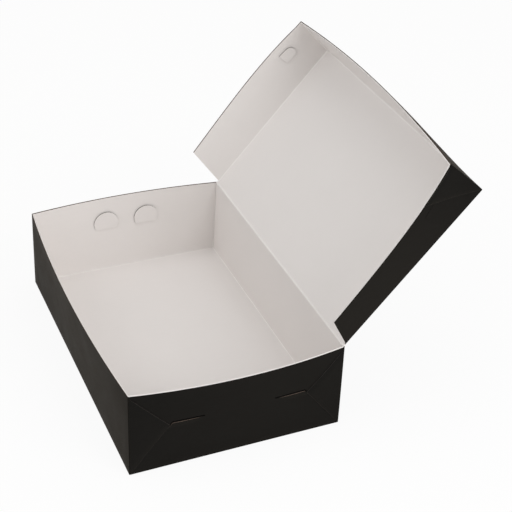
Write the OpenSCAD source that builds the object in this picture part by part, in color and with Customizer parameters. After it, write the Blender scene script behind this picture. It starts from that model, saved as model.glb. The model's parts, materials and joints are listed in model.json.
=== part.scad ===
// Hinged-lid candy box, folded from one sheet of coated paperboard.
// The origin is the middle of the tray's underside. +X runs along the lid's hinge,
// +Y points from the front wall to the hinge wall and +Z is up. The lid stands open.

/* [Tray] */
// Length along the hinge, over the board
tray_l = 254; // [220:1:300]
// Width from the front wall to the hinge wall, over the board
tray_w = 165; // [140:1:190]
// Height of the walls
tray_h = 70; // [60:1:80]

/* [Board] */
// Thickness of the board
board_t = 0.6; // [0.4:0.05:0.8]
// Outside radius of a fold
fold_r = 1.2; // [0.8:0.1:2]

/* [Lid] */
// Height of the lid's front wall, and of its side flaps at the front
flap_h = 40; // [35:1:46]
// Height of the side flaps at their hinge end
flap_rear_h = 32.5; // [26:0.5:34]
// Setback of the side flaps from the hinge at the crease
flap_back = 2; // [1.5:0.5:5]
// Setback of the side flaps from the hinge at their free corner
flap_cut = 12; // [6:1:20]
// Room between a side flap and the end wall that it tucks behind
lid_gap = 2.4; // [2:0.1:4]
// Room between the lid's front edge and the front wall as the lid swings shut
swing_gap = 9.2; // [1:0.1:12]
// Angle that the lid stands open at, from shut
open_angle = 131; // [95:1:175]

/* [Spring of the walls] */
// Outward bow at the middle of an end wall's rim
end_bow = 5.4; // [4:0.2:9]
// Inward pull of the rim's corners, where the gussets draw the end walls in
corner_tuck = 2; // [0:0.1:2.2]
// Outward bow at the middle of the front wall's rim
front_bow = 6; // [5:0.2:8]
// Outward bow at the middle of the lid front's rim
lid_front_bow = 6.5; // [0.5:0.1:7]
// Outward bow at the middle of a side flap's rim
flap_bow = 2.6; // [0.5:0.1:3]

/* [Corner locks] */
// Reach of a tray gusset along the end wall, from the corner to its point
gusset_w = 30; // [22:0.5:34]
// Depth of the lock slits below the rim
slit_drop = 29.5; // [24:0.5:34]
// Width of a lock slit
slit_w = 0.8; // [0.4:0.1:1.2]
// Radius of a tray tongue's round head
tongue_r = 10.4; // [8:0.2:12]
// Height of the head's centre above its slit
tongue_rise = 5; // [4:0.2:7.6]
// Distance between the two tongues of an end wall
tongue_spread = 36; // [26:1:44]
// Angle that a tongue springs away from its wall
tongue_spring = 4; // [2:0.5:7]
// Width of the arm that carries a tongue
arm_w = 9; // [6:0.5:12]
// Reach of a lid gusset along the side flap, from the front corner to its point
lid_gusset_w = 33.5; // [24:0.5:36]
// Distance from a lid gusset's point to the level of the front wall's rim
lid_gusset_gap = 4.5; // [4:0.5:8]
// Distance from a lid tongue to the level of the front wall's rim
lid_tongue_gap = 7; // [6:0.5:10]
// Width of a lid tongue
lid_tongue_w = 9.2; // [8:0.2:14]
// Length of a lid tongue
lid_tongue_l = 13.2; // [12:0.2:18]
// Width of the arm that carries a lid tongue
lid_arm_w = 6; // [4:0.5:8]

/* [Hidden] */

// Radius of the bead along the hinge crease, and the running gap around it
bead_r = 0.55;
bead_gap = 0.2;
// Rise and run of the slanted step where a slit leaves the gusset's point
slit_step = 1.6;
// Reach of a cut past the board, and the sink of one layer into the next
overrun = 1;
sink = board_t / 2;
// The inside radius of a fold, as a share of the outside one
fold_inner_share = 0.5;
// The depth of a slit, as a share of the board
slit_depth_share = 0.6;
// The width of a tongue's neck, as a share of its chord
neck_share = 0.9;
// The bow grows with this power of the height
bow_growth = 1.3;

// Steps along the front wall, an end wall and a lid flap, up a wall, round a fold, over a patch
front_steps = 16;
end_steps = 14;
flap_steps = 10;
rise_steps = 5;
fold_steps = 3;
patch_steps = 3;
$fn = 48;

fold_inner_r = fold_r * fold_inner_share;
half_l = tray_l / 2;
half_w = tray_w / 2;
slit_z = tray_h - slit_drop;
gusset_z = slit_z - slit_step;
lock_y = gusset_w - half_w;
tongue_y = tongue_spread / 2;
tongue_chord = 2 * sqrt(pow(tongue_r, 2) - pow(tongue_rise, 2));
// The hinge runs along the middle of the board, at the top of the hinge wall
hinge_y = half_w - board_t / 2;
hinge_z = tray_h;
lid_half_l = half_l - board_t - lid_gap;
// The lid's free corner swings just clear of the front wall
lid_d = sqrt(pow(hinge_y + half_w - board_t - swing_gap, 2) - pow(flap_h, 2));
lid_top = board_t / 2;
lid_rim = lid_top - flap_h;
lid_lock_y = lid_gusset_w - lid_d;
lid_lock_z = lid_rim + lid_gusset_gap;
lid_tongue_z = lid_rim + lid_tongue_gap;

// A bow over a span: one in the middle, nothing at the ends, for q from -1 to 1
function crown(q) = 1 - q * q;
function span(steps) = [for (i = [0:steps]) 2 * i / steps - 1];
function shares(steps) = [for (i = [0:steps]) i / steps];
function mix(a, b, share) = a + (b - a) * share;
// The share of the full bow that a tray wall has at height z
function swell(z) = pow(max(z, 0) / tray_h, bow_growth);
// How far the outside of an end wall stands from the middle of the tray
function end_x(y, z) = half_l + swell(z)
    * ((end_bow + corner_tuck) * crown(y / (half_w - fold_r)) - corner_tuck);
// How far the outside of a side flap stands from the middle of the lid
function flap_x(y, z) =
    lid_half_l + flap_bow * crown(2 * y / lid_d + 1) * (lid_top - z) / flap_h;

// The rounded corner of an outline, from angle a on, without its two ends
function corner(x, y, z, r, a) =
    [for (i = [1:fold_steps - 1]) let (turn = a + 90 * i / fold_steps)
        [x + r * cos(turn), y + r * sin(turn), z]];

// The tray's outline at height z, inset from the outside, as one closed ring
function tray_ring(inset, r, z) =
    let (swelling = swell(z), a = half_l - inset - corner_tuck * swelling,
        b = half_w - inset, ca = a - r, cb = b - r,
        end = (end_bow + corner_tuck) * swelling, front = front_bow * swelling)
    concat(
        [for (q = span(front_steps)) [q * ca, -b - front * crown(q), z]],
        corner(ca, -cb, z, r, -90),
        [for (q = span(end_steps)) [a + end * crown(q), q * cb, z]],
        corner(ca, cb, z, r, 0),
        [[ca, b, z], [-ca, b, z]],
        corner(-ca, cb, z, r, 90),
        [for (q = span(end_steps)) [-a - end * crown(q), -q * cb, z]],
        corner(-ca, -cb, z, r, 180));

// A point of the near side flap, a share along it from its hinge end and down from the crease
function flap_point(along, down, inset) =
    let (y = -mix(mix(flap_back, flap_cut, down), lid_d - inset, along),
        z = lid_top - down * mix(flap_rear_h, flap_h, along))
    [flap_x(y, z) - inset, y, z];
// A point of the lid's front wall, for q from -1 to 1 along it
function lid_front_point(q, down, inset) =
    [q * (lid_half_l - inset), inset - lid_d - lid_front_bow * down * crown(q),
        lid_top - down * flap_h];
// One level of the lid's walls, from the far flap's hinge end round to the near one's
function lid_row(down, inset) = concat(
    [for (s = shares(flap_steps)) let (p = flap_point(s, down, inset)) [-p.x, p.y, p.z]],
    [for (q = span(front_steps)) if (abs(q) < 1) lid_front_point(q, down, inset)],
    [for (s = shares(flap_steps)) flap_point(1 - s, down, inset)]);

// Points on the near end wall or the near flap, at an offset from its outside
function on_end(rows, offset) = [for (row = rows) [for (p = row) [end_x(p.x, p.y) + offset, p.x, p.y]]];
function on_flap(rows, offset) = [for (row = rows) [for (p = row) [flap_x(p.x, p.y) + offset, p.x, p.y]]];

// Two triangles over a cell, clockwise from outside
function cell(a, b, c, d) = [[a, b, c], [a, c, d]];

// A closed solid through rings of equal length, each one anticlockwise from above, around Z
module loft(rings) {
    n = len(rings[0]);
    last = (len(rings) - 1) * n;
    foot = last + n;
    polyhedron(
        points = concat([for (ring = rings) each ring],
            [[0, 0, rings[0][0].z], [0, 0, rings[len(rings) - 1][0].z]]),
        faces = [for (i = [0:n - 1]) let (j = (i + 1) % n) each concat(
            [[i, j, foot], [last + j, last + i, foot + 1]],
            [for (k = [0:n:last - 1]) each cell(k + i, k + n + i, k + n + j, k + j)])]);
}

// A closed solid between an outer and an inner grid of points, with rows from low to high
module sheet(outer, inner) {
    n = len(outer[0]);
    top = (len(outer) - 1) * n;
    back = top + n;
    rim = concat(
        [for (k = [0:n:top - 1]) [k, k + n]],
        [for (i = [0:n - 2]) [top + i, top + i + 1]],
        [for (k = [top:-n:1]) [k + n - 1, k - 1]],
        [for (i = [n - 1:-1:1]) [i, i - 1]]);
    cells = [for (k = [0:n:top - 1], i = [0:n - 2]) [k + i, k + n + i, k + n + i + 1, k + i + 1]];
    polyhedron(
        points = [for (row = concat(outer, inner)) each row],
        faces = concat(
            [for (c = cells) each cell(c[0], c[1], c[2], c[3])],
            [for (c = cells) each cell(back + c[0], back + c[3], back + c[2], back + c[1])],
            [for (e = rim) each cell(e[1], e[0], back + e[0], back + e[1])]));
}

// Stands an outline drawn in Y and Z up and sweeps it along X, from low to high
module across(low, high) {
    translate([low, 0, 0]) rotate([90, 0, 90]) linear_extrude(high - low) children();
}

// Both hands of something that is drawn at the front corner
module both_corners() {
    for (side = [0, 1]) mirror([0, side, 0]) children();
}

// Both hands of something that is drawn at the near end
module both_ends() {
    for (side = [0, 1]) mirror([side, 0, 0]) children();
}

// Rows across a gusset: it widens from its foot to its point and narrows to its head
function gusset_rows(edge, foot, knee, head, reach) =
    let (low = [for (s = shares(patch_steps)) [mix(foot, knee, s), mix(board_t, reach, s)]],
        high = [for (s = shares(patch_steps)) if (s > 0) [mix(knee, head, s), mix(reach, board_t, s)]])
    [for (row = concat(low, high)) [for (s = shares(patch_steps)) [edge + s * row[1], row[0]]]];

// Rows across an arm from one place to another along the wall, with a round free end
function arm_rows(from, to, low, width) =
    [for (q = span(2 * patch_steps)) let (end = to - width / 2 * (1 - sqrt(crown(q))))
        [for (s = shares(patch_steps)) [mix(from, end, s), low + width / 2 * (q + 1)]]];

// The folded gusset that closes a tray corner, pressed flat over the end wall
module gusset() {
    rows = gusset_rows(sink - half_w, fold_r, gusset_z, tray_h - board_t, gusset_w);
    sheet(on_end(rows, board_t), on_end(rows, -sink));
}

// The arm that runs from the gusset's point along the slit to its tongue
module arm() {
    rows = arm_rows(lock_y - arm_w, tongue_chord / 2 - tongue_y, slit_z - arm_w, arm_w);
    sheet(on_end(rows, board_t), on_end(rows, -sink));
}

// The slit over the arm, with the short slanted step that starts it
module slit() {
    end = tongue_chord / 2 - tongue_y;
    low = concat([[lock_y, gusset_z]],
        [for (s = shares(patch_steps)) [mix(lock_y + slit_step, end, s), slit_z]]);
    high = [for (p = low) [p.x, p.y + slit_w]];
    sheet(on_end([low, high], overrun), on_end([low, high], -board_t * slit_depth_share));
}

// The round head of a tongue, cut straight where it comes through its slit
module tongue_outline() {
    intersection() {
        translate([0, tongue_rise]) circle(tongue_r);
        translate([-tongue_r, 0]) square([2 * tongue_r, tongue_r + tongue_rise]);
    }
}

// A tongue on the inside of the end wall, with the neck that passes through the wall
module tongue() {
    foot = end_x(tongue_y, slit_z);
    top = slit_z + tongue_rise + tongue_r;
    wall_lean = atan((end_x(tongue_y, top) - foot) / (top - slit_z));
    neck = tongue_chord * neck_share;
    translate([foot - board_t, -tongue_y, slit_z])
        rotate([0, wall_lean - tongue_spring, 0])
            across(-board_t, 0) tongue_outline();
    across(foot - 2 * board_t, foot + sink)
        translate([-tongue_y - neck / 2, slit_z - slit_w]) square([neck, 2 * slit_w]);
}

// The bottom and the four walls, with rounded folds and walls that bow as they rise
module tray_shell() {
    low = board_t + fold_inner_r;
    loft(concat(
        [for (s = shares(fold_steps))
            tray_ring(fold_r * (1 - sin(90 * s)), fold_r, fold_r * (1 - cos(90 * s)))],
        [for (s = shares(rise_steps)) if (s > 0) tray_ring(0, fold_r, mix(fold_r, tray_h, s))],
        [for (s = shares(rise_steps)) if (s < 1)
            tray_ring(board_t, fold_inner_r, mix(tray_h, low, s))],
        [for (s = shares(fold_steps))
            tray_ring(board_t + fold_inner_r * (1 - cos(90 * s)), fold_inner_r,
                board_t + fold_inner_r * (1 - sin(90 * s)))]));
}

// The bead of the hinge crease along the top of the hinge wall
module hinge_bead() {
    translate([0, hinge_y, hinge_z]) rotate([0, 90, 0])
        cylinder(h = 2 * lid_half_l, r = bead_r, center = true);
}

module tray() {
    color("#1e1d1c") union() {
        difference() {
            tray_shell();
            both_ends() both_corners() slit();
        }
        both_ends() both_corners() gusset();
        both_ends() both_corners() arm();
        both_ends() both_corners() tongue();
        hinge_bead();
    }
}

// The lid's front wall and side flaps, bowed a little towards their rims
module lid_walls() {
    downs = [for (s = shares(rise_steps)) 1 - s];
    sheet([for (down = downs) lid_row(down, 0)], [for (down = downs) lid_row(down, board_t)]);
}

module lid_panel() {
    near = bead_r + bead_gap;
    width = 2 * lid_half_l - board_t;
    depth = lid_d - sink - near;
    translate([-width / 2, -near - depth, -lid_top]) cube([width, depth, board_t]);
}

// The folded gusset that closes a front corner of the lid, pressed flat over the flap
module lid_gusset() {
    rows = gusset_rows(sink - lid_d, lid_rim + board_t, lid_lock_z, -lid_top, lid_gusset_w);
    sheet(on_flap(rows, board_t), on_flap(rows, -sink));
}

// The arm that carries a lid tongue, from the gusset's point to just behind the slit
module lid_arm() {
    rows = arm_rows(lid_lock_y - lid_arm_w, lid_lock_y + lid_arm_w, lid_tongue_z, lid_tongue_w);
    sheet(on_flap(rows, board_t), on_flap(rows, -sink));
}

// A lid tongue: straight where it comes through its slit, round towards the front
module lid_tongue_outline() {
    straight = lid_tongue_l - lid_tongue_w / 2;
    translate([-straight, 0]) square([straight, lid_tongue_w]);
    translate([-straight, lid_tongue_w / 2]) circle(d = lid_tongue_w);
}

// A tongue on the inside of the near flap, with the neck that passes through the flap
module lid_tongue() {
    foot = flap_x(lid_lock_y, lid_tongue_z);
    neck = lid_tongue_w * neck_share;
    translate([foot - board_t, lid_lock_y, lid_tongue_z])
        rotate([0, 0, -tongue_spring])
            across(-board_t, 0) lid_tongue_outline();
    across(foot - 2 * board_t, foot + sink)
        translate([lid_lock_y - slit_w, lid_tongue_z + (lid_tongue_w - neck) / 2])
            square([2 * slit_w, neck]);
}

module lid() {
    color("#1e1d1c") translate([0, hinge_y, hinge_z]) rotate([-open_angle, 0, 0]) union() {
        lid_panel();
        lid_walls();
        both_ends() lid_gusset();
        both_ends() lid_arm();
        both_ends() lid_tongue();
    }
}

tray();
lid();
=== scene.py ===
"""Hinged-lid candy box of black and white paperboard, standing open on a pale studio floor."""
import json
import math

import bmesh
import bpy
from bmesh.types import BMEdge, BMFace, BMVert
from mathutils import Euler, Matrix, Vector
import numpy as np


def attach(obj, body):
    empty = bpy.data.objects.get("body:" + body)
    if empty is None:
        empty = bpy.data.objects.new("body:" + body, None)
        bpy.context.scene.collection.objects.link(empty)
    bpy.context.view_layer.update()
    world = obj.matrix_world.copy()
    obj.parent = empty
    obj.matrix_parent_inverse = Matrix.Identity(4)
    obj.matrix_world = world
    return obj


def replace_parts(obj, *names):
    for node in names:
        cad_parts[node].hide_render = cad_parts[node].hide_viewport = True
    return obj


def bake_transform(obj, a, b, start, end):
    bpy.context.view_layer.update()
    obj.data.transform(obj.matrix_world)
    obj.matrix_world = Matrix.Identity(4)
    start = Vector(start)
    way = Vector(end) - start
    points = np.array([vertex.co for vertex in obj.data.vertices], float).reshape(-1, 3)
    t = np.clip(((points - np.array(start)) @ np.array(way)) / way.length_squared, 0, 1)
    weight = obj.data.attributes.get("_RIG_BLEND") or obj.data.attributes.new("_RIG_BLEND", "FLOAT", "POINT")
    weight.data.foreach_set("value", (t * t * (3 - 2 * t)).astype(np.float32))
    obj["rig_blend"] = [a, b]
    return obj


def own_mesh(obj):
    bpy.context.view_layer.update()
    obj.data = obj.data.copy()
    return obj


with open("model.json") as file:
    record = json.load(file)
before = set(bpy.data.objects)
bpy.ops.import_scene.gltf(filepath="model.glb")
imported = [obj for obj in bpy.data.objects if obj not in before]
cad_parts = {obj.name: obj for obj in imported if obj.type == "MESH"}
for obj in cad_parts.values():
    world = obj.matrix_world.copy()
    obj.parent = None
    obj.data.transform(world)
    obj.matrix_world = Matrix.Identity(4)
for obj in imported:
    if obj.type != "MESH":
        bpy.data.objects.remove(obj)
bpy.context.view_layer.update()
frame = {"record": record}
scene = bpy.context.scene

# The two ends of the box, by the sign of X, and what lies between them
NEAR, FAR, BETWEEN = 1, -1, 0

# Tray and board, in metres as all sizes here
TRAY_L = 0.254
TRAY_W = 0.165
TRAY_H = 0.070
BOARD = 0.0011
FOLD_R = 0.0006

# How far the core is crushed in at a cut rim, and how far an upright score opens
RIM_CRUSH = 0.00045
CORNER_CRACK = 0.0005

# How far the walls bow out at their rims, how the bow grows with height, and how far the tray's
# corners are tucked in at the rim
END_BOWS = {NEAR: 0.0054, FAR: 0.0037}
FRONT_BOW = 0.006
LID_FRONT_BOW = 0.0065
BOW_GROWTH = 1.3
CORNER_TUCK = 0.002

# Depth of the lid's side flaps at the front and at the hinge end, and how far from the crease they start
FLAP_H = 0.040
FLAP_REAR_H = 0.0325
FLAP_BACK = 0.002

# Room left by the lid at each end, in front of its swing and at the crease
LID_SETBACK = 0.0034
SWING_GAP = 0.0098
CREASE_GAP = 0.00105

# Each side flap's splay at its hinge end and its front end, how fast that fades towards the front,
# the flap's cut-back at the hinge, and how far the lid front's rim leans out at each end
FLARES = {NEAR: (0.0112, 0.0004), FAR: (0.0140, 0.0010)}
FLARE_POWER = 3.5
FLAP_CUTS = {NEAR: 0.0135, FAR: 0.0085}
FRONT_LEANS = {NEAR: 0.0, FAR: 0.0035}

# Corner gussets of the tray
GUSSET_W = 0.030
GUSSET_THICK = 0.95 * BOARD
GUSSET_SINK = BOARD / 2
SOFT_EDGE = BOARD / 4

# Lock slits: their drop below the rim, their width, the step down at their outer end, and how far
# they are drawn in and sunk
SLIT_DROP = 0.0295
SLIT_W = 0.0014
SLIT_STEP = 0.0016
SLIT_LIP = BOARD / 10
SLIT_DEPTH = 0.75 * BOARD

# Arms below the slits: how deep they start in the wall, and how far their cut top is lifted
ARM_W = 0.009
ARM_THICK = 0.5 * BOARD
ARM_SINK = 0.95 * BOARD
ARM_LIFT = 0.85 * BOARD

# Round heads of the tray's lock tongues, and how they spring off the wall
TONGUE_R = 0.0107
TONGUE_RISE = 0.0058
TONGUE_SPREAD = 0.036
TONGUE_THICK = 0.45 * BOARD
TONGUE_DEPTH = 1.45 * BOARD
TONGUE_SPRING = math.tan(math.radians(2.5))

# Gussets, arms and lock tongues of the lid
LID_GUSSET_W = 0.0335
LID_GUSSET_GAP = 0.002
LID_ARM_W = 0.006
LID_ARM_THICK = 1.1 * BOARD
LID_ARM_TAPER = 0.2
LID_TONGUE_W = 0.0092
LID_TONGUE_L = 0.0132
LID_TONGUE_GAP = 0.0085
LID_TONGUE_TUCK = 0.0025
LID_TONGUE_THICK = BOARD / 2
LID_TONGUE_DEPTH = 1.6 * BOARD

# The bend of the board along the hinge
CREASE_LEG = 1.5 * BOARD
CREASE_R = 0.8 * BOARD
CREASE_OUT = 0.58 * BOARD
CREASE_THICK = 1.16 * BOARD
CREASE_SWELL = 0.5 * BOARD

# How strongly a painted highlight lightens the folds and cut edges
TRAY_FOLD_HIGHLIGHT = 0.3
HINGE_FOLD_HIGHLIGHT = 0.7
LID_FOLD_HIGHLIGHT = 0.7
CREASE_HIGHLIGHT = 0.7
CUT_HIGHLIGHT = 1.0

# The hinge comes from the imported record; its upper limit is the angle from open to shut
hinge_joint = frame["record"]["behaviour"]["joints"][0]
HINGE = Vector(hinge_joint["pos_m"])
OPEN = math.radians(hinge_joint["range_deg"][1])

# Places on the tray
HALF_L = TRAY_L / 2
HALF_W = TRAY_W / 2
SLIT_Z = TRAY_H - SLIT_DROP
LOCK_Y = GUSSET_W - HALF_W
TONGUE_Y = TONGUE_SPREAD / 2
TONGUE_CHORD = 2 * math.sqrt(TONGUE_R ** 2 - TONGUE_RISE ** 2)
SLIT_END = -TONGUE_Y - TONGUE_CHORD / 2
NECK_END = TONGUE_CHORD / 2 - TONGUE_Y

# Places on the lid, shut and with its hinge at the origin
LID_HALF_L = HALF_L - LID_SETBACK
LID_D = math.sqrt((HINGE.y + HALF_W - SWING_GAP) ** 2 - FLAP_H ** 2)
LID_TOP = BOARD / 2
LID_RIM = LID_TOP - FLAP_H
LID_LOCK_Y = LID_GUSSET_W - LID_D
LID_LOCK_Z = LID_RIM + LID_GUSSET_GAP
LID_TONGUE_Y = LID_LOCK_Y - LID_TONGUE_TUCK
LID_TONGUE_Z = LID_RIM + LID_TONGUE_GAP

# Divisions of the meshes
FRONT_STEPS = 24
FLAP_STEPS = 20
FOLD_STEPS = 4
SOFT_STEPS = 2
GUSSET_CUTS = 7
ARM_CUTS = 9
LID_ARM_CUTS = 5
TONGUE_POINTS = 48
LID_TONGUE_POINTS = 40
TONGUE_LEVELS = (0.25, 0.5, 0.75)
FLAP_LEVELS = (0.12, 0.3, 0.5, 0.75, 1)
SHARP_ANGLE = math.radians(38)
TINY = 1e-6

# How much of a face's normal lies along an axis that it counts as facing, loosely and squarely
FACING = 0.5
SQUARE_ON = 0.9

# Grid lines of the end walls, so that the slits fall on whole cells, and levels up the walls
HALF_LINES = [-0.075, -0.068, -0.060, LOCK_Y, LOCK_Y + SLIT_STEP, -0.044, -0.036, SLIT_END,
              -TONGUE_Y, NECK_END, -0.004]
END_LINES = HALF_LINES + [0] + [-y for y in reversed(HALF_LINES)]
WALL_LEVELS = [0.006, 0.013, 0.021, 0.031, SLIT_Z, SLIT_Z + SLIT_W, 0.048, 0.055, 0.063, TRAY_H]

# Finishes of a board, in the order of its materials; the fourth is painted shade, a near-black that stands
# in for the shadow inside the lock slits
COAT, LINER, CORE, PAINTED_SHADE, TORN = range(5)

# Shares of the grain in a board's tone and relief, the relief's height, and the tints of its gloss
CLOUD_SHARE = 0.65
FIBRE_SHARE = 0.35
FIBRE_RELIEF = 0.6
RELIEF = 0.0002
GLOSS_TINT = (1.0, 0.92, 0.83, 1)
SHEEN_TINT = (1.0, 0.68, 0.32, 1)

# Studio: the floor, the lamps and the photograph's view, fitted to the corners of the box
FLOOR_HALF = 6
FLOOR_DROP = 0.0002
FLOOR_GLOW = 0.92
FLOOR_PAPER = (0.86, 0.86, 0.86, 1)
WHITE = (1, 1, 1, 1)
WORLD_TINT = (1.0, 0.99, 0.98, 1)
WORLD_LIGHT = 0.56
LAMP_SIZE = 1.2
LAMP_AIM = Vector((0, 0, 0.05))
LENS_MM = 88.448
SENSOR_MM = 36.0
CAMERA_PLACE = Vector((0.752948, -0.286462, 0.623513))
CAMERA_TURN_DEG = (56.49934, -2.73231, 66.73356)


def mix(a, b, share):
    return a + (b - a) * share


def crown(q):
    """A bow over a span: one in the middle and nothing at the ends, for q from -1 to 1."""
    return max(0.0, 1 - q * q)


def swell(z):
    """The share of the full bow that a tray wall has at height z."""
    return (max(z, 0.0) / TRAY_H) ** BOW_GROWTH


def side_of(x):
    """The end of the box that a place is at."""
    return NEAR if x > 0 else FAR


def end_x(y, z, side):
    """How far the outside of an end wall stands from the middle of the tray."""
    bow = (END_BOWS[side] + CORNER_TUCK) * crown(y / (HALF_W - FOLD_R))
    return HALF_L + swell(z) * (bow - CORNER_TUCK)


def flap_x(y, z, side):
    """How far the outside of a side flap stands from the middle of the lid, with the lid shut."""
    along = min(1, max(0, -y / (LID_D - FOLD_R)))
    return LID_HALF_L + mix(*FLARES[side], along ** FLARE_POWER) * (LID_TOP - z) / FLAP_H


# Shader building


def node(tree, kind, place=(0, 0), **values):
    """A node with its plain settings, and its unlinked inputs as in_Name."""
    made = tree.nodes.new(kind)
    made.location = place
    for key, value in values.items():
        if key.startswith("in_"):
            made.inputs[key[3:].replace("_", " ")].default_value = value
        else:
            setattr(made, key, value)
    return made


def group(name, takes, gives):
    """An empty shader node group with float sockets."""
    tree = bpy.data.node_groups.new(name, "ShaderNodeTree")
    for socket, value in takes:
        made = tree.interface.new_socket(socket, in_out="INPUT", socket_type="NodeSocketFloat")
        made.default_value = value
    for socket in gives:
        tree.interface.new_socket(socket, in_out="OUTPUT", socket_type="NodeSocketFloat")
    return tree, node(tree, "NodeGroupInput", (-900, 0)), node(tree, "NodeGroupOutput", (700, 0))


def make_paper_grain():
    """Cloudy tone, short fibres and fine tooth of a board's face."""
    tree, takes, gives = group(
        "paper_grain", [("Cloud Scale", 30.0), ("Fibre Scale", 900.0), ("Tooth Scale", 2600.0)],
        ["Cloud", "Fibre", "Height"])
    link = tree.links.new
    place = node(tree, "ShaderNodeTexCoord", (-900, 300))
    cloud = node(tree, "ShaderNodeTexNoise", (-500, 300), in_Detail=5.0, in_Roughness=0.6)
    stretch = node(tree, "ShaderNodeMapping", (-700, 0), in_Scale=(1.0, 0.16, 0.5))
    fibre = node(tree, "ShaderNodeTexNoise", (-500, 0), in_Detail=3.0, in_Roughness=0.55, in_Distortion=0.8)
    tooth = node(tree, "ShaderNodeTexNoise", (-500, -300), in_Detail=2.0, in_Roughness=0.5)
    link(place.outputs["Object"], cloud.inputs["Vector"])
    link(place.outputs["Object"], stretch.inputs["Vector"])
    link(stretch.outputs["Vector"], fibre.inputs["Vector"])
    link(place.outputs["Object"], tooth.inputs["Vector"])
    link(takes.outputs["Cloud Scale"], cloud.inputs["Scale"])
    link(takes.outputs["Fibre Scale"], fibre.inputs["Scale"])
    link(takes.outputs["Tooth Scale"], tooth.inputs["Scale"])
    spread = node(tree, "ShaderNodeMapRange", (-200, 300), in_From_Min=0.32, in_From_Max=0.68)
    link(cloud.outputs["Fac"], spread.inputs["Value"])
    lines = node(tree, "ShaderNodeMapRange", (-200, 0), in_From_Min=0.4, in_From_Max=0.72)
    link(fibre.outputs["Fac"], lines.inputs["Value"])
    blend = node(tree, "ShaderNodeMath", (200, -200), operation="MULTIPLY_ADD")
    blend.inputs[1].default_value = FIBRE_RELIEF
    link(lines.outputs["Result"], blend.inputs[0])
    link(tooth.outputs["Fac"], blend.inputs[2])
    link(spread.outputs["Result"], gives.inputs["Cloud"])
    link(lines.outputs["Result"], gives.inputs["Fibre"])
    link(blend.outputs["Value"], gives.inputs["Height"])
    return tree


def make_fold_highlight():
    """Where a painted highlight lightens a fold or cut edge, from the piece's own fold attribute, broken up
    along its length.
    """
    tree, takes, gives = group("fold_highlight", [("Patch Scale", 220.0), ("Reach", 0.5)], ["Rub"])
    link = tree.links.new
    fold = node(tree, "ShaderNodeAttribute", (-900, 300), attribute_name="fold")
    place = node(tree, "ShaderNodeTexCoord", (-900, -200))
    patches = node(tree, "ShaderNodeTexNoise", (-500, -100), in_Detail=4.0, in_Roughness=0.65)
    link(place.outputs["Object"], patches.inputs["Vector"])
    link(takes.outputs["Patch Scale"], patches.inputs["Scale"])
    lift = node(tree, "ShaderNodeMath", (-250, -100), operation="ADD")
    link(patches.outputs["Fac"], lift.inputs[0])
    link(takes.outputs["Reach"], lift.inputs[1])
    highlight = node(tree, "ShaderNodeMath", (50, 100), operation="MULTIPLY", use_clamp=True)
    link(fold.outputs["Fac"], highlight.inputs[0])
    link(lift.outputs["Value"], highlight.inputs[1])
    link(highlight.outputs["Value"], gives.inputs["Rub"])
    return tree


paper_grain = make_paper_grain()
fold_highlight = make_fold_highlight()


def use_group(tree, group_tree, place, **values):
    """A node that uses a shared group, with its inputs by name."""
    made = node(tree, "ShaderNodeGroup", place, node_tree=group_tree)
    for key, value in values.items():
        made.inputs[key.replace("_", " ")].default_value = value
    return made


def board_material(name, low, high, highlight_tone, rough, specular, bump, grain, highlight_reach, sheen=0.0):
    """Paperboard: two tones clouded by the grain, a lighter third painted as a highlight along folds and cut
    edges, fine relief.

    The grain is the scale of its clouds, its fibres and its tooth.
    """
    material = bpy.data.materials.new(name)
    material.use_nodes = True
    tree = material.node_tree
    link = tree.links.new
    shader = tree.nodes["Principled BSDF"]
    shader.inputs["Specular IOR Level"].default_value = specular
    shader.inputs["Specular Tint"].default_value = GLOSS_TINT
    shader.inputs["Sheen Weight"].default_value = sheen
    shader.inputs["Sheen Tint"].default_value = SHEEN_TINT
    clouds, fibres, tooth = grain
    face = use_group(
        tree, paper_grain, (-900, 0), Cloud_Scale=clouds, Fibre_Scale=fibres, Tooth_Scale=tooth)
    highlight = use_group(tree, fold_highlight, (-900, 300), Reach=highlight_reach)
    share = node(tree, "ShaderNodeMath", (-720, -160), operation="MULTIPLY")
    share.inputs[1].default_value = CLOUD_SHARE
    link(face.outputs["Cloud"], share.inputs[0])
    both = node(tree, "ShaderNodeMath", (-560, 0), operation="MULTIPLY_ADD")
    both.inputs[1].default_value = FIBRE_SHARE
    link(face.outputs["Fibre"], both.inputs[0])
    link(share.outputs["Value"], both.inputs[2])
    tone = node(tree, "ShaderNodeMix", (-400, 100), data_type="RGBA", in_A=(*low, 1), in_B=(*high, 1))
    link(both.outputs["Value"], tone.inputs["Factor"])
    highlighted = node(tree, "ShaderNodeMix", (-220, 200), data_type="RGBA", in_B=(*highlight_tone, 1))
    link(tone.outputs["Result"], highlighted.inputs["A"])
    link(highlight.outputs["Rub"], highlighted.inputs["Factor"])
    link(highlighted.outputs["Result"], shader.inputs["Base Color"])
    gloss = node(tree, "ShaderNodeMapRange", (-220, -100), in_To_Min=rough[0], in_To_Max=rough[1])
    link(face.outputs["Cloud"], gloss.inputs["Value"])
    link(gloss.outputs["Result"], shader.inputs["Roughness"])
    relief = node(tree, "ShaderNodeBump", (-220, -350), in_Strength=bump, in_Distance=RELIEF)
    link(face.outputs["Height"], relief.inputs["Height"])
    link(relief.outputs["Normal"], shader.inputs["Normal"])
    return material


# Each board's third tone is a painted highlight, laid along folds and cut edges by the fold attribute
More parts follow.
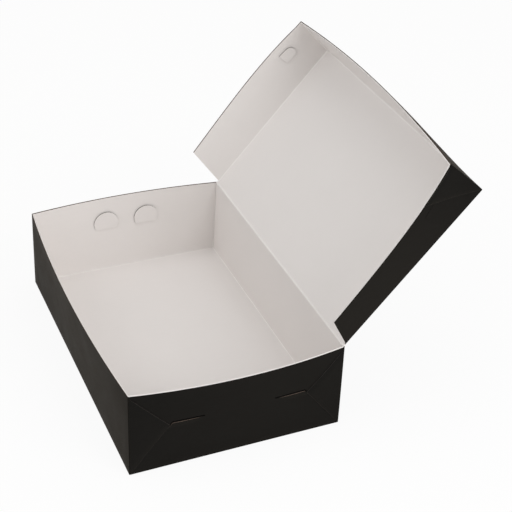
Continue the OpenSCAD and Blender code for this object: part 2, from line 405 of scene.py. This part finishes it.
black_coat = board_material(
    "black_coat", low=(0.0078, 0.0078, 0.0076), high=(0.0100, 0.0100, 0.0097), highlight_tone=(0.056, 0.051, 0.046),
    rough=(0.52, 0.62), specular=0.023, bump=0.10, grain=(26.0, 700.0, 2600.0), highlight_reach=0.3, sheen=0.036)
white_liner = board_material(
    "white_liner", low=(0.790, 0.760, 0.742), high=(0.806, 0.776, 0.758), highlight_tone=(0.93, 0.91, 0.89),
    rough=(0.68, 0.80), specular=0.28, bump=0.10, grain=(22.0, 800.0, 2400.0), highlight_reach=0.4)
cut_core = board_material(
    "cut_core", low=(0.052, 0.031, 0.021), high=(0.090, 0.058, 0.042), highlight_tone=(0.076, 0.048, 0.034),
    rough=(0.82, 0.92), specular=0.12, bump=0.25, grain=(120.0, 1400.0, 4200.0), highlight_reach=0.1)
# Painted shade: a near-black board that stands in for the shadow inside the lock slits
slit_painted_shade = board_material(
    "slit_painted_shade", low=(0.0006, 0.0006, 0.0005), high=(0.0012, 0.0011, 0.0010), highlight_tone=(0.002, 0.002, 0.002),
    rough=(0.90, 0.96), specular=0.04, bump=0.10, grain=(120.0, 1400.0, 4200.0), highlight_reach=0.1)
torn_core = board_material(
    "torn_core", low=(0.15, 0.11, 0.09), high=(0.24, 0.18, 0.15), highlight_tone=(0.26, 0.20, 0.17),
    rough=(0.82, 0.92), specular=0.12, bump=0.25, grain=(120.0, 1400.0, 4200.0), highlight_reach=0.1)
BOARD_MATERIALS = (black_coat, white_liner, cut_core, slit_painted_shade, torn_core)


# Mesh building


def points_of(faces):
    return list({v for f in faces for v in f.verts})


def edges_of(faces):
    return list({e for f in faces for e in f.edges})


def only(kind, geometry):
    return [g for g in geometry if isinstance(g, kind)]


def border_of(faces):
    """The edges that only one of the faces has."""
    inside = set(faces)
    return [e for e in edges_of(faces) if sum(f in inside for f in e.link_faces) == 1]


def new_board():
    """An empty mesh whose points know how strong their painted highlight is and where they were before
    bowing.
    """
    bm = bmesh.new()
    bm.verts.layers.float.new("fold")
    bm.verts.layers.float_vector.new("flat")
    return bm


def fold_layer(bm):
    return bm.verts.layers.float["fold"]


def flat_layer(bm):
    return bm.verts.layers.float_vector["flat"]


def round_folds(bm, edges, radius, highlight, steps=FOLD_STEPS):
    """Rounds edges, and marks how strongly a painted highlight lightens the middle of each rounding."""
    rounding = set(bmesh.ops.bevel(
        bm, geom=edges, offset=radius, offset_type="OFFSET", segments=steps, profile=0.5,
        affect="EDGES", clamp_overlap=True, material=-1)["faces"])
    mark = fold_layer(bm)
    for v in points_of(rounding):
        if all(f in rounding for f in v.link_faces):
            v[mark] = highlight


def raise_border(bm, border, levels, start):
    """Extrudes a border of edges to a list of levels, and gives the new faces."""
    made, level = [], start
    for z in levels:
        risen = bmesh.ops.extrude_edge_only(bm, edges=border)["geom"]
        bmesh.ops.translate(bm, vec=(0, 0, z - level), verts=only(BMVert, risen))
        made += only(BMFace, risen)
        border = [e for e in only(BMEdge, risen)
                  if e.is_boundary and all(abs(v.co.z - z) < TINY for v in e.verts)]
        level = z
    return made


def join_skins(bm, outer, inner):
    """Closes two faces of a board along a cut edge: the core shows, crushed in between the faces, with a
    painted highlight along its middle.
    """
    for skin, finish in ((outer, COAT), (inner, LINER)):
        for f in skin:
            f.material_index = finish
    before = set(bm.faces)
    outer_rim, inner_rim = border_of(outer), border_of(inner)
    facing = list({v for e in inner_rim for v in e.verts})
    flat = flat_layer(bm)
    across = {}
    for v in {v for e in outer_rim for v in e.verts}:
        across[v] = min(facing, key=lambda w: (w[flat] - v[flat]).length_squared)
    for a, b in [e.verts for e in outer_rim]:
        bm.faces.new((a, b, across[b], across[a])).material_index = CORE
    ties = [e for a, b in across.items() for e in a.link_edges if e.other_vert(a) is b]
    middle = only(BMVert, bmesh.ops.subdivide_edges(bm, edges=ties, cuts=1)["geom_inner"])
    for f in {f for e in inner_rim for f in e.link_faces} - before:
        f.material_index = LINER
    bmesh.ops.recalc_face_normals(bm, faces=bm.faces)
    bm.normal_update()
    mark = fold_layer(bm)
    # A painted highlight along the middle of the cut edge
    for v in middle:
        v[mark] = CUT_HIGHLIGHT
        v.co -= v.normal * RIM_CRUSH


def open_lid(bm):
    """Turns what was made on the shut lid to the pose that the box stands in."""
    swing = Matrix.Translation(HINGE) @ Matrix.Rotation(-OPEN, 4, "X")
    bmesh.ops.transform(bm, matrix=swing, verts=bm.verts)


def outline_patch(bm, corners, cuts):
    """A flat patch drawn in Y and Z, divided evenly so that it can follow a bowed wall."""
    before = set(bm.faces)
    face = bm.faces.new([bm.verts.new((0, y, z)) for y, z in corners])
    bmesh.ops.subdivide_edges(bm, edges=face.edges[:], cuts=cuts, use_grid_fill=True)
    return [f for f in bm.faces if f not in before]


def round_patch(bm, radius, points):
    """Makes a flat round patch in Y and Z, about the origin, and gives its points."""
    before = set(bm.verts)
    bmesh.ops.create_circle(bm, cap_ends=True, radius=radius, segments=points)
    made = [v for v in bm.verts if v not in before]
    upright = Matrix(((0, 0, 1), (1, 0, 0), (0, 1, 0)))
    bmesh.ops.rotate(bm, cent=(0, 0, 0), matrix=upright, verts=made)
    return made


def drape(bm, faces, place, thickness, edge=CORE, lit=None):
    """Lays a flat patch over a wall that faces +X, thickens it outwards and gives it its finishes.

    Its outer edges beyond the place lit along Y are softened and lightened by a painted highlight, to stand
    for the light they catch.
    """
    foot = points_of(faces)
    for v in foot:
        v.co.x = place(v.co.y, v.co.z)
    risen = only(BMVert, bmesh.ops.extrude_face_region(bm, geom=faces, use_keep_orig=True)["geom"])
    bmesh.ops.translate(bm, vec=(thickness, 0, 0), verts=risen)
    body = list({f for v in foot + risen for f in v.link_faces})
    bmesh.ops.recalc_face_normals(bm, faces=body)
    for f in body:
        f.material_index = COAT if f.normal.x > FACING else LINER if f.normal.x < -FACING else edge
    if lit is not None:
        top = set(risen)
        front = [f for f in body if f.material_index == COAT and all(v in top for v in f.verts)]
        soft = [e for e in border_of(front) if max(v.co.y for v in e.verts) > lit]
        # The softened edges get a painted highlight
        round_folds(bm, soft, SOFT_EDGE, CUT_HIGHLIGHT, SOFT_STEPS)


def drape_ends(bm, faces, place, thickness, **finish):
    """Lays a flat patch over both end walls, and over both halves of each."""
    loose = faces + edges_of(faces) + points_of(faces)
    twin = only(BMFace, bmesh.ops.duplicate(bm, geom=loose)["geom"])
    drape(bm, twin, lambda y, z: place(y, z, FAR), thickness, **finish)
    bmesh.ops.scale(bm, vec=(-1, 1, 1), verts=bm.verts)
    drape(bm, faces, lambda y, z: place(y, z, NEAR), thickness, **finish)
    bmesh.ops.mirror(bm, geom=bm.verts[:] + bm.edges[:] + bm.faces[:], merge_dist=0, axis="Y")


def finish_piece(name, bm, body, recalc=True):
    """Writes the mesh to a piece that shows the board's finishes and rides on its body, if it has one."""
    if recalc:
        bmesh.ops.recalc_face_normals(bm, faces=bm.faces)
    bm.verts.layers.float_vector.remove(flat_layer(bm))
    mesh = bpy.data.meshes.new(name)
    bm.to_mesh(mesh)
    bm.free()
    for material in BOARD_MATERIALS:
        mesh.materials.append(material)
    mesh.shade_smooth()
    mesh.set_sharp_from_angle(angle=SHARP_ANGLE)
    piece = bpy.data.objects.new(name, mesh)
    scene.collection.objects.link(piece)
    if body:
        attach(piece, body)
    return piece


# Tray


def tray_skin(bm, inset):
    """One face of the tray's board: a bottom grid, its border raised to walls, rounded and bowed."""
    before = set(bm.faces)
    a, b = HALF_L - inset, HALF_W - inset
    lines = [-b] + END_LINES + [b]
    rows = len(lines) - 1
    for v in bmesh.ops.create_grid(bm, x_segments=FRONT_STEPS, y_segments=rows, size=1)["verts"]:
        row = round((v.co.y + 1) / 2 * rows)
        v.co = (v.co.x * a, lines[row], inset)
    foot = border_of([f for f in bm.faces if f not in before])
    walls = raise_border(bm, foot, WALL_LEVELS, inset)
    corners = [e for e in edges_of(walls)
               if all(abs(abs(v.co.x) - a) < TINY and abs(abs(v.co.y) - b) < TINY for v in e.verts)]
    # The inside folds get a painted highlight; the outside folds get none
    round_folds(bm, foot + corners, FOLD_R, TRAY_FOLD_HIGHLIGHT if inset else 0.0)
    skin = [f for f in bm.faces if f not in before]
    flat, mark = flat_layer(bm), fold_layer(bm)
    for v in points_of(skin):
        x, y, z = v.co
        v[flat] = x * HALF_L / a, y * HALF_W / b, z
        on_end = abs(x) > a - TINY
        # A stronger painted highlight along the hinge fold
        if v[mark] and y > b - FOLD_R:
            v[mark] = HINGE_FOLD_HIGHLIGHT
        if on_end and abs(abs(y) + LOCK_Y) < TINY and -TINY < z - SLIT_Z < SLIT_W + TINY:
            v.co.z = z = z - SLIT_STEP
        v.co.x *= 1 - CORNER_TUCK * swell(z) / a
        if on_end:
            side = side_of(x)
            v.co.x += side * (END_BOWS[side] + CORNER_TUCK) * swell(z) * crown(y / (b - FOLD_R))
        if y < -b + TINY:
            v.co.y -= FRONT_BOW * swell(z) * crown(x / (a - FOLD_R))
    return skin


def press_slits(bm):
    """Sinks the lock slits into the outside of the end walls, and paints their floors near-black as shade.
    """
    slits = []
    for f in bm.faces:
        c = f.calc_center_median()
        if f.material_index == COAT and abs(f.normal.x) > SQUARE_ON and SLIT_END > -abs(c.y) > LOCK_Y:
            heights = [v.co.z for v in f.verts]
            if SLIT_Z - 1.5 * SLIT_STEP < min(heights) and max(heights) < SLIT_Z + 2 * SLIT_W:
                slits.append(f)
    bmesh.ops.inset_region(bm, faces=slits, thickness=SLIT_LIP, depth=-SLIT_DEPTH,
                           use_boundary=True, use_even_offset=True)
    # The slit floors are painted near-black as shade
    for f in slits:
        f.material_index = PAINTED_SHADE


def crack_corners(bm, inner):
    """Opens the score along each upright corner of the inside."""
    flat = flat_layer(bm)
    for v in points_of(inner):
        x, y, z = v[flat]
        gap = HALF_L - abs(x)
        if gap > TINY and abs(gap - (HALF_W - abs(y))) < 10 * TINY and z > BOARD + FOLD_R:
            v.co += Vector((math.copysign(CORNER_CRACK, x), math.copysign(CORNER_CRACK, y), 0))


def make_tray():
    """The bottom and the four walls, folded from one board."""
    bm = new_board()
    inner = tray_skin(bm, BOARD)
    join_skins(bm, tray_skin(bm, 0), inner)
    crack_corners(bm, inner)
    press_slits(bm)
    return finish_piece("tray_board", bm, "tray", recalc=False)


def make_gussets():
    """The folded corner gussets, pressed flat over the end walls."""
    bm = new_board()
    edge = FOLD_R - HALF_W

    def place(y, z, side):
        return end_x(y, z, side) - GUSSET_SINK

    corners = [(edge, FOLD_R), (LOCK_Y, SLIT_Z - SLIT_STEP), (edge, TRAY_H - BOARD)]
    face = outline_patch(bm, corners, GUSSET_CUTS)
    drape_ends(bm, face, place, GUSSET_THICK, edge=COAT, lit=edge + TINY)
    return finish_piece("tray_gussets", bm, "tray")


def make_arms():
    """The arms under the slits: flush with the wall below, proud along their torn top."""
    bm = new_board()
    low = SLIT_Z - ARM_W

    def place(y, z, side):
        rise = (z - low) / ARM_W
        reach = min(1, max(0, (SLIT_END - y) / ARM_W))
        return end_x(y, z, side) - ARM_SINK + ARM_LIFT * rise * math.sqrt(reach)

    corners = [(LOCK_Y - ARM_W / 2, low), (NECK_END, low), (NECK_END, SLIT_Z), (LOCK_Y + SLIT_STEP, SLIT_Z)]
    face = outline_patch(bm, corners, ARM_CUTS)
    drape_ends(bm, face, place, ARM_THICK, edge=TORN)
    return finish_piece("tray_arms", bm, "tray")


def make_tongues():
    """The round heads of the lock tongues, sprung a little off the inside of the end walls."""
    bm = new_board()
    head = round_patch(bm, TONGUE_R, TONGUE_POINTS)
    bmesh.ops.translate(bm, vec=(0, -TONGUE_Y, SLIT_Z + TONGUE_RISE), verts=head)
    bmesh.ops.bisect_plane(bm, geom=bm.verts[:] + bm.edges[:] + bm.faces[:], dist=TINY,
                           plane_co=(0, 0, SLIT_Z), plane_no=(0, 0, -1), clear_outer=True)
    for share in TONGUE_LEVELS:
        level = SLIT_Z + (TONGUE_RISE + TONGUE_R) * share
        bmesh.ops.bisect_plane(bm, geom=bm.verts[:] + bm.edges[:] + bm.faces[:], dist=TINY,
                               plane_co=(0, 0, level), plane_no=(0, 0, 1))

    def place(y, z, side):
        return end_x(y, z, side) - TONGUE_DEPTH - TONGUE_SPRING * (z - SLIT_Z)

    drape_ends(bm, bm.faces[:], place, TONGUE_THICK)
    return finish_piece("tray_tongues", bm, "tray")


# Lid, made shut with its hinge at the origin and then opened


def lid_skin(bm, inset, flap):
    """One face of the lid's board: the side flap at one end, or all that lies between the flaps."""
    before = set(bm.faces)
    a, front, top = LID_HALF_L - inset, LID_D - inset, LID_TOP - inset
    for v in bmesh.ops.create_grid(bm, x_segments=FRONT_STEPS, y_segments=FLAP_STEPS, size=1)["verts"]:
        v.co = (v.co.x * a, mix(-front, -CREASE_GAP, (v.co.y + 1) / 2), top)
    panel = [f for f in bm.faces if f not in before]
    folds = [e for e in border_of(panel) if any(v.co.y < -CREASE_GAP - TINY for v in e.verts)]
    walls = raise_border(bm, folds, [LID_TOP - FLAP_H * share for share in FLAP_LEVELS], top)
    corners = [e for e in edges_of(walls)
               if all(abs(abs(v.co.x) - a) < TINY and abs(v.co.y + front) < TINY for v in e.verts)]
    # The inside folds of the lid get a painted highlight; the outside folds get none
    round_folds(bm, folds + corners, FOLD_R, LID_FOLD_HIGHLIGHT if inset else 0.0)
    skin = [f for f in bm.faces if f not in before]
    near = {f for f in skin if all(v.co.x > a - TINY for v in f.verts)}
    far = {f for f in skin if all(v.co.x < -a + TINY for v in f.verts)}
    flat = flat_layer(bm)
    for v in points_of(skin):
        x, y, z = v.co
        v[flat] = x * LID_HALF_L / a, y * LID_D / front, (z - LID_RIM) * FLAP_H / (FLAP_H - inset)
        down = (LID_TOP - z) / FLAP_H
        if abs(x) > a - TINY and z < top - TINY:
            side = side_of(x)
            along = (-y - CREASE_GAP) / (front - CREASE_GAP)
            v.co.y = -mix(mix(FLAP_BACK, FLAP_CUTS[side], down), front + FRONT_LEANS[side] * down, along)
            v.co.z = LID_TOP - down * mix(FLAP_REAR_H, FLAP_H, along)
            v.co.x = side * (flap_x(v.co.y, v.co.z, side) - inset)
        elif z < top - TINY and y < FOLD_R - front:
            v.co.x += FLARES[side_of(x)][1] * down * (x / a) ** 3
            v.co.y -= mix(FRONT_LEANS[FAR], FRONT_LEANS[NEAR], (x / a + 1) / 2) * down
            if y < -front + TINY:
                v.co.y -= LID_FRONT_BOW * (1 - (1 - down) ** 2) * crown(x / a)
    kept = {NEAR: near, FAR: far, BETWEEN: set(skin) - near - far}[flap]
    bmesh.ops.delete(bm, geom=[f for f in skin if f not in kept], context="FACES")
    return list(kept)


def make_lid():
    """The lid's panel and front wall, with the folds that its side flaps hang on."""
    bm = new_board()
    join_skins(bm, lid_skin(bm, 0, BETWEEN), lid_skin(bm, BOARD, BETWEEN))
    open_lid(bm)
    return finish_piece("lid_board", bm, "lid")


def add_lid_lock(bm, side):
    """The gusset and arm outside a flap, and the tongue that comes through it, drawn at the near end."""

    def on_flap(sink):
        return lambda y, z: flap_x(y, z, side) - sink

    edge = FOLD_R - LID_D
    corners = [(edge, LID_RIM + BOARD), (LID_LOCK_Y, LID_LOCK_Z), (edge, -LID_TOP)]
    face = outline_patch(bm, corners, GUSSET_CUTS)
    drape(bm, face, on_flap(GUSSET_SINK), GUSSET_THICK, edge=COAT, lit=edge + TINY)

    low, high = LID_TONGUE_Z, LID_TONGUE_Z + LID_TONGUE_W
    start, end = LID_LOCK_Y - LID_ARM_W, LID_LOCK_Y + LID_ARM_W
    corners = [(start, low), (end, mix(low, high, LID_ARM_TAPER)),
               (end, mix(high, low, LID_ARM_TAPER)), (start, high)]
    face = outline_patch(bm, corners, LID_ARM_CUTS)
    drape(bm, face, on_flap(BOARD), LID_ARM_THICK, edge=COAT)

    half = LID_TONGUE_W / 2
    head = round_patch(bm, half, LID_TONGUE_POINTS)
    for v in head:
        if v.co.y > TINY:
            v.co.y = LID_TONGUE_L - half
    bmesh.ops.translate(bm, vec=(0, LID_TONGUE_Y - LID_TONGUE_L + half, LID_TONGUE_Z + half), verts=head)

    def place(y, z):
        return flap_x(y, z, side) - LID_TONGUE_DEPTH - TONGUE_SPRING * (LID_TONGUE_Y - y)

    drape(bm, list({f for v in head for f in v.link_faces}), place, LID_TONGUE_THICK)


def make_flap(name, side):
    """A side flap with its lock, splayed open."""
    bm = new_board()
    add_lid_lock(bm, side)
    bmesh.ops.scale(bm, vec=(side, 1, 1), verts=bm.verts)
    join_skins(bm, lid_skin(bm, 0, side), lid_skin(bm, BOARD, side))
    open_lid(bm)
    flap = finish_piece(name, bm, "lid")
    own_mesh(flap)
    return flap


def make_crease():
    """The bend of the board along the hinge, which rolls as the lid turns."""
    bm = new_board()
    mark = fold_layer(bm)
    half_turn = (OPEN - math.pi / 2) / 2
    lean = Vector((0, -math.cos(OPEN), math.sin(OPEN)))
    outward = Vector((0, math.cos(half_turn), -math.sin(half_turn)))
    rows = [HINGE - Vector((0, 0, CREASE_LEG)), HINGE, HINGE + CREASE_LEG * lean]
    ends = [[bm.verts.new(p + Vector((side * LID_HALF_L, 0, 0))) for p in rows] for side in (FAR, NEAR)]
    legs = [bm.faces.new((ends[0][i], ends[1][i], ends[1][i + 1], ends[0][i + 1])) for i in (0, 1)]
    # A painted highlight along the middle of the crease's bend
    round_folds(bm, [e for e in legs[0].edges if e in legs[1].edges[:]], CREASE_R, CREASE_HIGHLIGHT)
    bmesh.ops.translate(bm, vec=outward * CREASE_OUT, verts=bm.verts)
    inner = only(BMVert, bmesh.ops.extrude_face_region(bm, geom=bm.faces[:], use_keep_orig=True)["geom"])
    bmesh.ops.translate(bm, vec=-outward * CREASE_THICK, verts=inner)
    for v in inner:
        v.co -= outward * CREASE_SWELL * v[mark]
    bmesh.ops.recalc_face_normals(bm, faces=bm.faces)
    for f in bm.faces:
        f.material_index = COAT if f.normal.dot(outward) > FACING else LINER
    crease = finish_piece("hinge_crease", bm, None)
    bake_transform(crease, "tray", "lid", start=rows[0], end=rows[2])
    return crease


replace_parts(make_tray(), "tray")
make_gussets()
make_arms()
make_tongues()
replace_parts(make_lid(), "lid")
make_flap("lid_flap_near", NEAR)
make_flap("lid_flap_far", FAR)
make_crease()


# Studio


def make_floor():
    """A pale sheet that keeps the box's shadow and is white to the camera and in reflections."""
    bm = bmesh.new()
    bmesh.ops.create_grid(bm, x_segments=1, y_segments=1, size=FLOOR_HALF)
    bmesh.ops.translate(bm, vec=(0, 0, -FLOOR_DROP), verts=bm.verts)
    mesh = bpy.data.meshes.new("studio_floor")
    bm.to_mesh(mesh)
    bm.free()
    floor = bpy.data.objects.new("studio_floor", mesh)
    scene.collection.objects.link(floor)
    material = bpy.data.materials.new("pale_floor")
    material.use_nodes = True
    tree = material.node_tree
    tree.nodes.clear()
    link = tree.links.new
    out = node(tree, "ShaderNodeOutputMaterial", (600, 0))
    paper = node(tree, "ShaderNodeBsdfDiffuse", (0, 0), in_Color=FLOOR_PAPER)
    glow = node(tree, "ShaderNodeEmission", (0, -200), in_Color=WHITE, in_Strength=1.0)
    path = node(tree, "ShaderNodeLightPath", (-600, 300))
    seen = node(tree, "ShaderNodeMath", (-300, 300), operation="MAXIMUM")
    seen_too = node(tree, "ShaderNodeMath", (-150, 300), operation="MAXIMUM")
    share = node(tree, "ShaderNodeMath", (0, 300), operation="MULTIPLY")
    share.inputs[1].default_value = FLOOR_GLOW
    blend = node(tree, "ShaderNodeMixShader", (300, 0))
    link(path.outputs["Is Camera Ray"], seen.inputs[0])
    link(path.outputs["Is Glossy Ray"], seen.inputs[1])
    link(seen.outputs["Value"], seen_too.inputs[0])
    link(path.outputs["Is Transmission Ray"], seen_too.inputs[1])
    link(seen_too.outputs["Value"], share.inputs[0])
    link(share.outputs["Value"], blend.inputs["Fac"])
    link(paper.outputs["BSDF"], blend.inputs[1])
    link(glow.outputs["Emission"], blend.inputs[2])
    link(blend.outputs["Shader"], out.inputs["Surface"])
    mesh.materials.append(material)


def make_world():
    """Even studio light for the object, plain white for the camera."""
    world = bpy.data.worlds.new("studio_world")
    scene.world = world
    world.use_nodes = True
    tree = world.node_tree
    tree.nodes.clear()
    link = tree.links.new
    out = node(tree, "ShaderNodeOutputWorld", (600, 0))
    light = node(tree, "ShaderNodeBackground", (0, 0), in_Color=WORLD_TINT, in_Strength=WORLD_LIGHT)
    white = node(tree, "ShaderNodeBackground", (0, -200), in_Color=WHITE, in_Strength=1.0)
    path = node(tree, "ShaderNodeLightPath", (-300, 200))
    blend = node(tree, "ShaderNodeMixShader", (300, 0))
    link(path.outputs["Is Camera Ray"], blend.inputs["Fac"])
    link(light.outputs["Background"], blend.inputs[1])
    link(white.outputs["Background"], blend.inputs[2])
    link(blend.outputs["Shader"], out.inputs["Surface"])


def softbox(name, place, watts):
    """A large round lamp aimed at the box."""
    lamp = bpy.data.lights.new(name, "AREA")
    lamp.shape = "DISK"
    lamp.size = LAMP_SIZE
    lamp.energy = watts
    holder = bpy.data.objects.new(name, lamp)
    scene.collection.objects.link(holder)
    holder.location = place
    holder.rotation_euler = (LAMP_AIM - Vector(place)).to_track_quat("-Z", "Y").to_euler()


def make_camera():
    """The photograph's view: a long lens from the near end, above and towards the front."""
    lens = bpy.data.cameras.new("photo_view")
    lens.lens = LENS_MM
    lens.sensor_width = SENSOR_MM
    lens.clip_start = 0.01
    lens.clip_end = 50
    camera = bpy.data.objects.new("photo_view", lens)
    scene.collection.objects.link(camera)
    turn = Euler([math.radians(angle) for angle in CAMERA_TURN_DEG])
    camera.matrix_world = Matrix.LocRotScale(CAMERA_PLACE, turn, None)
    scene.camera = camera


make_floor()
make_world()
softbox("key_softbox", (1.3, 0.6, 0.9), watts=12.2)
softbox("front_softbox", (0, -1.25, 1.25), watts=5.2)
softbox("top_softbox", (0, 0, 1.8), watts=3.6)
make_camera()
scene.view_settings.view_transform = "Standard"
